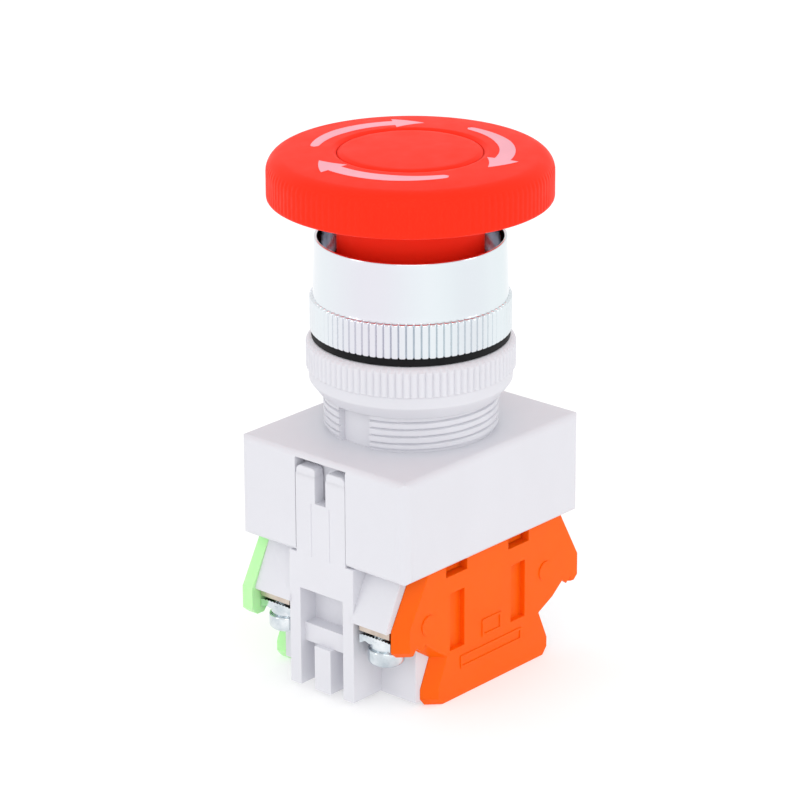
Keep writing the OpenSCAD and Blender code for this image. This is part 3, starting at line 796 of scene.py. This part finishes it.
def make_clamp(node, body, centre):
    """Wire clamp with a wavy lower edge and bent ends, and the split lock washer under it."""
    low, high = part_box(node)
    half_x, half_y = 2.45 * MM, 2.8 * MM
    top = high.z
    thick, bend, count = 1.0 * MM, 0.3 * MM, 56
    upper, lower = [], []
    for i in range(count + 1):
        t = -1 + 2 * i / count
        droop = bend * max(0, abs(t) - 0.62) / 0.38
        wave = 0.11 * MM * cos(t * 9)
        upper.append((t * half_y, -0.15 * MM + 0.06 * MM * cos(t * 31) - droop * 0.3))
        lower.append((t * half_y, -thick - droop + wave))
    place = Matrix(((0, 0, 1, centre[0]), (1, 0, 0, centre[1]), (0, 1, 0, top), (0, 0, 0, 1)))
    bm = bmesh.new()
    add_prism(bm, upper + lower[::-1], -half_x, half_x, place)
    bevel_sharp(bm, 0.1 * MM, 2, above=60)
    ring_top = -thick * 0.6
    ring_in, ring_out, ring_low = 1.8 * MM, 2.5 * MM, low.z - top
    ring = rounded([(ring_in, ring_top, 0), (ring_in, ring_low, 0.2 * MM), (ring_out, ring_low, 0.3 * MM)])
    ring = [(r, top + z) for r, z in ring + [(ring_out, ring_top)]]
    add_lathe(bm, ring, 64, centre=centre)
    piece(f"{node}_clamp", bm, body, ZINC, [node])


def add_cross_recess(bm, centre, low, rim_r):
    """Flat underside of a screw head inside a radius, with a cross recess sunk into it."""
    reach, half, depth = 1.55 * MM, 0.36 * MM, 1.2 * MM
    corners = []
    for turn in range(4):
        c, s = round(cos(tau * turn / 4)), round(sin(tau * turn / 4))
        for x, y in ((reach, -half), (reach, half), (half, half)):
            corners.append((centre[0] + x * c - y * s, centre[1] + x * s + y * c))
    mouth = [bm.verts.new((x, y, low)) for x, y in corners]
    floor = [bm.verts.new((x, y, low + depth)) for x, y in corners]
    bm.faces.new(floor)
    for i in range(len(corners)):
        k = (i + 1) % len(corners)
        bm.faces.new((mouth[i], mouth[k], floor[k], floor[i]))
    steps = 72
    rim = []
    for i in range(steps):
        a = tau * i / steps
        rim.append(bm.verts.new((centre[0] + rim_r * cos(a), centre[1] + rim_r * sin(a), low)))
    loops = [bm.edges.new((rim[i], rim[(i + 1) % steps])) for i in range(steps)]
    loops += [bm.edges.get((mouth[i], mouth[(i + 1) % len(mouth)])) for i in range(len(mouth))]
    bmesh.ops.triangle_fill(bm, edges=loops, use_beauty=True)


def make_screw(node, body, centre):
    """Pan head with a rounded rim and cross recess, and a shank with a rolled thread."""
    low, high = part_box(node)
    head_r, head_h, shank_r = 2.65 * MM, 2.3 * MM, 1.68 * MM
    head_top = low.z + head_h
    bm = bmesh.new()
    recess_r = 1.9 * MM
    core_low = head_top - 0.3 * MM
    outline = [(recess_r, core_low), (recess_r, low.z)]
    outline += arc(head_r - 0.7 * MM, low.z + 0.7 * MM, 0.7 * MM, 270, 360, 6)
    outline += arc(head_r - 0.25 * MM, head_top - 0.25 * MM, 0.25 * MM, 0, 90, 3)
    outline += [(recess_r, head_top)]
    add_lathe(bm, outline, 72, centre=centre)
    core = [(0, core_low), (0, head_top), (recess_r, head_top), (recess_r, core_low)]
    add_lathe(bm, core, 72, centre=centre)
    add_cross_recess(bm, centre, low.z, recess_r)
    pitch = 0.6 * MM
    steps, rows = 28, int((high.z - head_top) / pitch * 6)
    grid = []
    for i in range(steps):
        a = tau * i / steps
        row = [(0, head_top - 0.1 * MM)]
        for j in range(rows + 1):
            z = head_top - 0.1 * MM + (high.z - head_top + 0.1 * MM) * j / rows
            ridge = abs(((z / pitch + a / tau) % 1) * 2 - 1)
            row.append((shank_r - 0.22 * MM * (1 - ridge), z))
        row.append((0, high.z))
        grid.append([(centre[0] + r * cos(a), centre[1] + r * sin(a), z) for r, z in row])
    add_grid(bm, grid)
    piece(f"{node}_pan_head", bm, body, ZINC, [node])


def make_plate(node):
    bm = cad_copy(node)
    bevel_sharp(bm, 0.12 * MM, 2)
    piece(f"{node}_strip", bm, "base", PLATE, [node])


for side, y in (("nc", -9.4 * MM), ("no", 9.4 * MM)):
    for end, x in (("left", -16.1 * MM), ("right", 16.1 * MM)):
        make_plate(f"{side}_plate_{end}")
        make_clamp(f"{side}_washer_{end}", f"{side}_clamp_{end}", (x, y))
        make_screw(f"{side}_screw_{end}", f"{side}_terminal_{end}", (x, y))

# ---------------------------------------------------------------- CAD nodes that keep their shape

KEPT = {
    "cap_screws": ZINC,
    "twist_hub": IVORY,
    "hub_ring": STEEL,
    "stem": IVORY,
    "pusher_bar": IVORY,
    "bar_clip": STEEL,
    "skirt_seal": RUBBER,
    "latch_pins": STEEL,
    "nc_plunger": IVORY,
    "no_plunger": IVORY,
    "nc_bridge": COPPER,
    "no_bridge": COPPER,
    "nc_moving_tips": SILVER,
    "nc_fixed_tips": SILVER,
    "no_moving_tips": SILVER,
    "no_fixed_tips": SILVER,
}
for node, material in KEPT.items():
    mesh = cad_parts[node].data
    mesh.materials.clear()
    mesh.materials.append(material)

# ---------------------------------------------------------------- studio


def make_floor():
    low = CAD_BOX[0].z
    size = 3.0
    bm = bmesh.new()
    bmesh.ops.create_grid(bm, x_segments=1, y_segments=1, size=size / 2)
    mesh = bpy.data.meshes.new("floor")
    bm.to_mesh(mesh)
    bm.free()
    floor = bpy.data.objects.new("floor", mesh)
    floor.location.z = low - 0.05 * MM
    n = Nodes("floor")
    tone = n.blend(n.span(n.noise(30), 0, 1), (0.64, 0.64, 0.64, 1), (0.66, 0.66, 0.66, 1))
    n.set(Base_Color=tone, Roughness=0.9)
    n.set(Emission_Color=(1, 1, 1, 1), Emission_Strength=0.4)
    mesh.materials.append(n.material)
    bpy.context.scene.collection.objects.link(floor)


def add_light(name, place, aim, size, power, colour=(1, 1, 1)):
    data = bpy.data.lights.new(name, "AREA")
    data.shape = "RECTANGLE"
    data.size, data.size_y = size
    data.energy = power
    data.color = colour
    light = bpy.data.objects.new(name, data)
    light.location = place
    light.rotation_euler = (Vector(aim) - Vector(place)).to_track_quat("-Z", "Y").to_euler()
    bpy.context.scene.collection.objects.link(light)


def make_camera():
    """Long lens half a metre away and about 20 degrees above the horizon, facing the left end's corner."""
    target = Vector((-1.035, 1.173, -9.987)) * MM
    distance = 520.97 * MM
    heading, pitch, roll = radians(48.592), radians(20.462), radians(0.251)
    look = Vector((sin(heading) * cos(pitch), cos(heading) * cos(pitch), -sin(pitch)))
    data = bpy.data.cameras.new("camera")
    data.lens = 166.1
    data.sensor_width = 36
    data.clip_start = 0.01
    camera = bpy.data.objects.new("camera", data)
    camera.location = target - look * distance
    turn = look.to_track_quat("-Z", "Y").to_matrix().to_4x4() @ Matrix.Rotation(-roll, 4, "Z")
    camera.rotation_euler = turn.to_euler()
    bpy.context.scene.collection.objects.link(camera)
    bpy.context.scene.camera = camera


def make_world():
    world = bpy.data.worlds.new("studio")
    world.use_nodes = True
    world.node_tree.nodes["Background"].inputs["Color"].default_value = (1, 1, 1, 1)
    world.node_tree.nodes["Background"].inputs["Strength"].default_value = 0.98
    bpy.context.scene.world = world
    bpy.context.scene.view_settings.view_transform = "Standard"


make_floor()
make_world()
add_light("key", (-0.6, -0.55, 0.5), (0, 0, 0), (0.6, 0.6), 1.2)
add_light("left_strip", (-0.75, 0.35, 0.2), (0, 0, 0), (0.2, 0.6), 0.5)
add_light("right_strip", (0.35, -0.75, 0.2), (0, 0, 0), (0.2, 0.6), 0.5)
make_camera()
